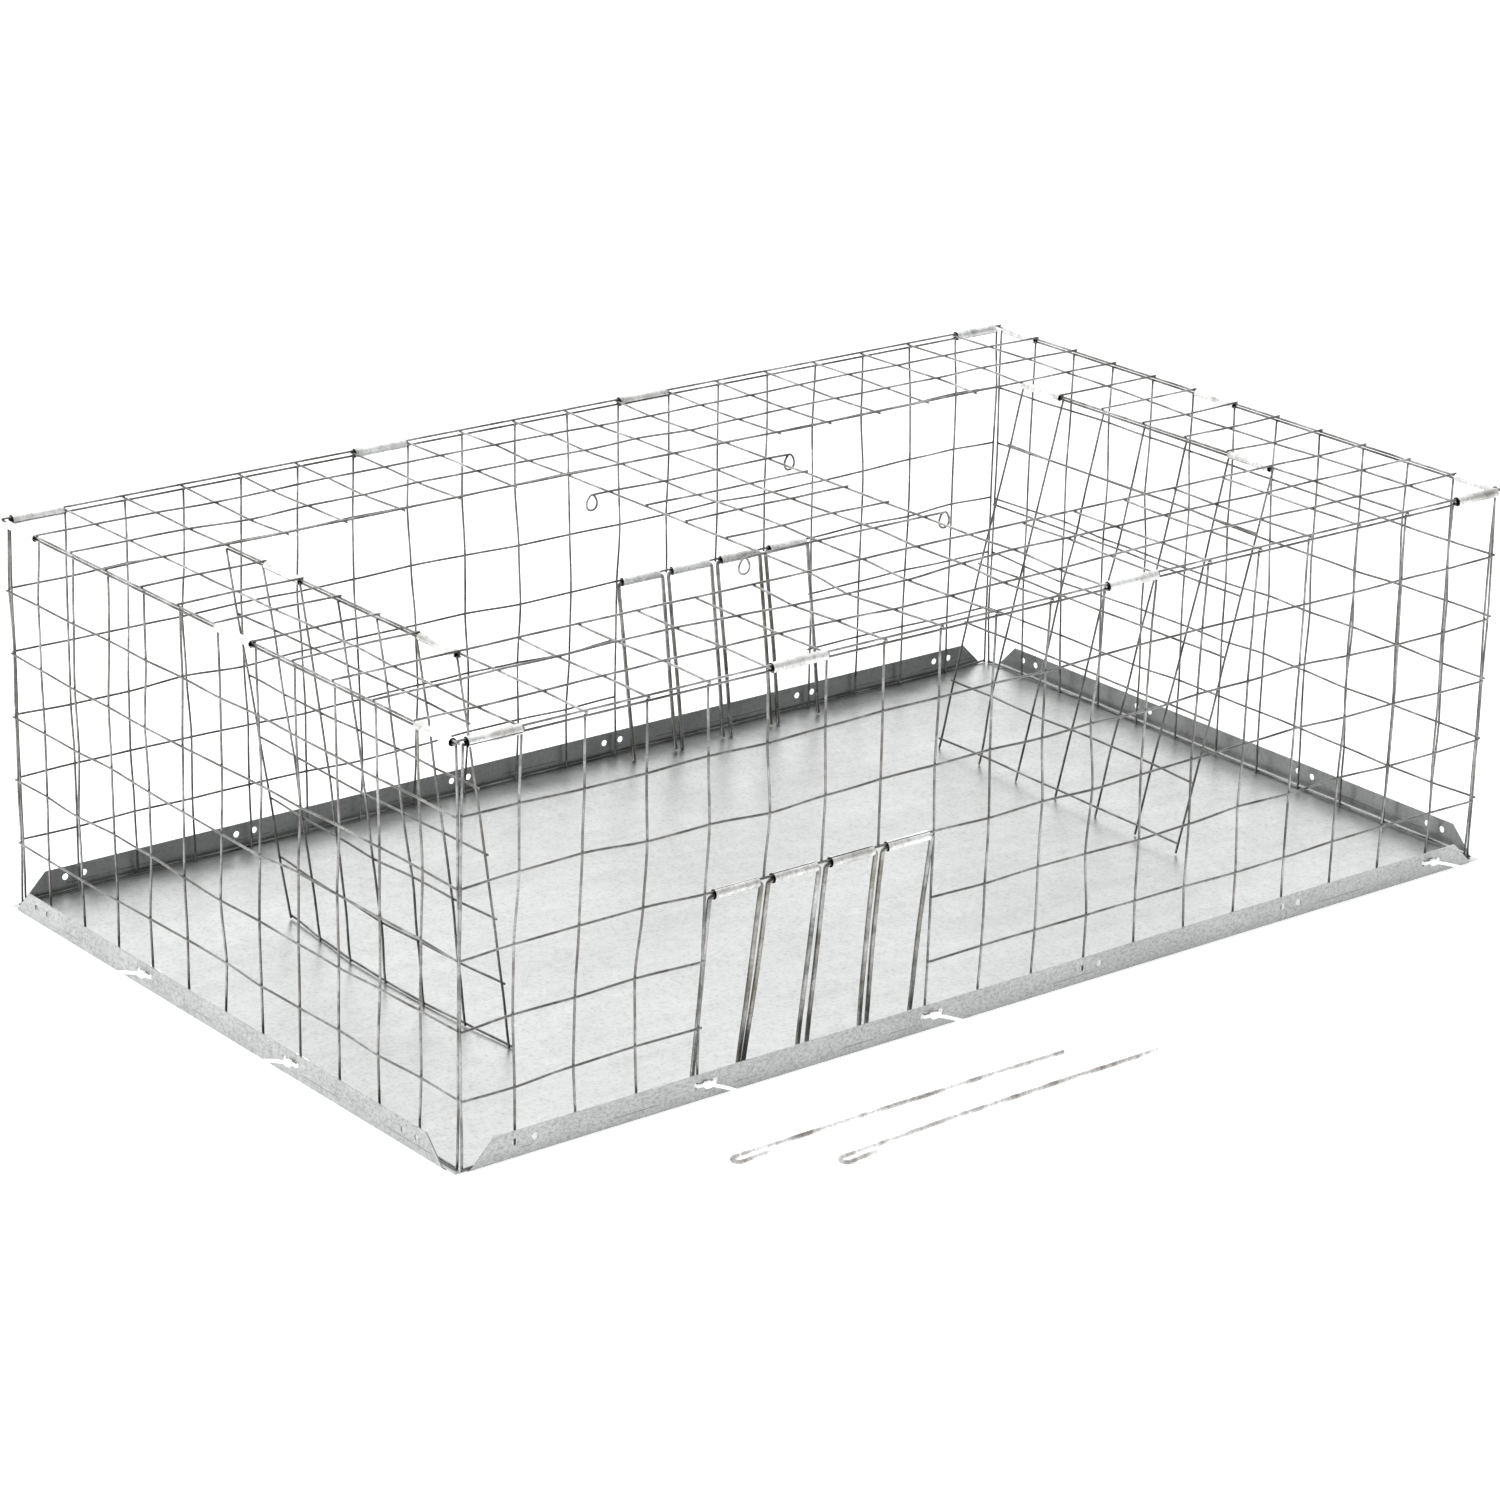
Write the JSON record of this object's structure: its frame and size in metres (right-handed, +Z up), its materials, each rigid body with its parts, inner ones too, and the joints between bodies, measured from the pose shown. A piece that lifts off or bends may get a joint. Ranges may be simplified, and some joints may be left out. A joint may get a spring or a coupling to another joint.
{
  "type": "live catch trap",
  "caption": "Low wire-mesh bird trap on a sheet-steel tray, with swinging one-way bob doors in both long walls and two drop doors in the top.",
  "frame": {"origin": "middle of the tray's underside, on the surface that it stands on", "axes": "+X along the long side, +Y from the front wall to the back wall, +Z up"},
  "size_m": [0.9823, 0.7142, 0.3009],
  "materials": {
    "galvanised_sheet": "galvanised, satin with faint spangle",
    "mesh_wire": "galvanised wire, satin",
    "zinc_sleeve": "bright zinc with dark flecks",
    "bob_wire": "dull galvanised wire with brown staining",
    "bright_wire": "bright drawn wire",
    "nylon": "natural nylon, slightly translucent"
  },
  "bodies": {
    "cage": {"tray": "galvanised_sheet", "front_panel_left": "mesh_wire", "front_panel_right": "mesh_wire", "front_panel_above_bobs": "mesh_wire", "front_sill_wire": "mesh_wire", "back_panel_left": "mesh_wire", "back_panel_right": "mesh_wire", "back_panel_above_bobs": "mesh_wire", "back_sill_wire": "mesh_wire", "left_panel": "mesh_wire", "right_panel": "mesh_wire", "top_panel": "mesh_wire", "front_eye_wire": "mesh_wire", "back_eye_wire": "mesh_wire", "lock_rod_1": "bright_wire", "lock_rod_2": "bright_wire", "front_bob_sleeve_1": "zinc_sleeve", "front_bob_sleeve_2": "zinc_sleeve", "front_bob_sleeve_3": "zinc_sleeve", "front_bob_sleeve_4": "zinc_sleeve", "back_bob_sleeve_1": "zinc_sleeve", "back_bob_sleeve_2": "zinc_sleeve", "back_bob_sleeve_3": "zinc_sleeve", "back_bob_sleeve_4": "zinc_sleeve", "front_hinge_sleeve_1": "zinc_sleeve", "front_hinge_sleeve_2": "zinc_sleeve", "front_hinge_sleeve_3": "zinc_sleeve", "front_hinge_sleeve_4": "zinc_sleeve", "back_hinge_sleeve_1": "zinc_sleeve", "back_hinge_sleeve_2": "zinc_sleeve", "back_hinge_sleeve_3": "zinc_sleeve", "back_hinge_sleeve_4": "zinc_sleeve", "left_hinge_sleeve_1": "zinc_sleeve", "left_hinge_sleeve_2": "zinc_sleeve", "left_hinge_sleeve_3": "zinc_sleeve", "right_hinge_sleeve_1": "zinc_sleeve", "right_hinge_sleeve_2": "zinc_sleeve", "right_hinge_sleeve_3": "zinc_sleeve", "left_door_sleeve_1": "zinc_sleeve", "left_door_sleeve_2": "zinc_sleeve", "right_door_sleeve_1": "zinc_sleeve", "right_door_sleeve_2": "zinc_sleeve", "front_cable_tie_1": "nylon", "front_cable_tie_2": "nylon", "front_cable_tie_3": "nylon", "left_cable_tie_1": "nylon", "left_cable_tie_2": "nylon"},
    "front_bob_1": {"front_bob_1": "bob_wire"},
    "front_bob_2": {"front_bob_2": "bob_wire"},
    "front_bob_3": {"front_bob_3": "bob_wire"},
    "front_bob_4": {"front_bob_4": "bob_wire"},
    "back_bob_1": {"back_bob_1": "bob_wire"},
    "back_bob_2": {"back_bob_2": "bob_wire"},
    "back_bob_3": {"back_bob_3": "bob_wire"},
    "back_bob_4": {"back_bob_4": "bob_wire"},
    "left_door": {"left_door": "mesh_wire"},
    "right_door": {"right_door": "mesh_wire"}
  },
  "joints": [
    {"name": "front_bob_1_swing", "type": "hinge", "parent": "cage", "child": "front_bob_1", "pos_m": [-0.25, -0.285, 0.1457], "axis": [1, 0, 0], "range_deg": [0, 70]},
    {"name": "front_bob_2_swing", "type": "hinge", "parent": "cage", "child": "front_bob_2", "pos_m": [-0.2, -0.285, 0.1457], "axis": [1, 0, 0], "range_deg": [0, 70]},
    {"name": "front_bob_3_swing", "type": "hinge", "parent": "cage", "child": "front_bob_3", "pos_m": [-0.15, -0.285, 0.1457], "axis": [1, 0, 0], "range_deg": [0, 70]},
    {"name": "front_bob_4_swing", "type": "hinge", "parent": "cage", "child": "front_bob_4", "pos_m": [-0.1, -0.285, 0.1457], "axis": [1, 0, 0], "range_deg": [0, 70]},
    {"name": "back_bob_1_swing", "type": "hinge", "parent": "cage", "child": "back_bob_1", "pos_m": [0.1, 0.285, 0.1457], "axis": [-1, 0, 0], "range_deg": [0, 70]},
    {"name": "back_bob_2_swing", "type": "hinge", "parent": "cage", "child": "back_bob_2", "pos_m": [0.15, 0.285, 0.1457], "axis": [-1, 0, 0], "range_deg": [0, 70]},
    {"name": "back_bob_3_swing", "type": "hinge", "parent": "cage", "child": "back_bob_3", "pos_m": [0.2, 0.285, 0.1457], "axis": [-1, 0, 0], "range_deg": [0, 70]},
    {"name": "back_bob_4_swing", "type": "hinge", "parent": "cage", "child": "back_bob_4", "pos_m": [0.25, 0.285, 0.1457], "axis": [-1, 0, 0], "range_deg": [0, 70]},
    {"name": "left_door_swing", "type": "hinge", "parent": "cage", "child": "left_door", "pos_m": [-0.375, 0, 0.2953], "axis": [0, -1, 0], "range_deg": [0, 80.6]},
    {"name": "right_door_swing", "type": "hinge", "parent": "cage", "child": "right_door", "pos_m": [0.375, 0, 0.2953], "axis": [0, 1, 0], "range_deg": [0, 74.4]}
  ]
}
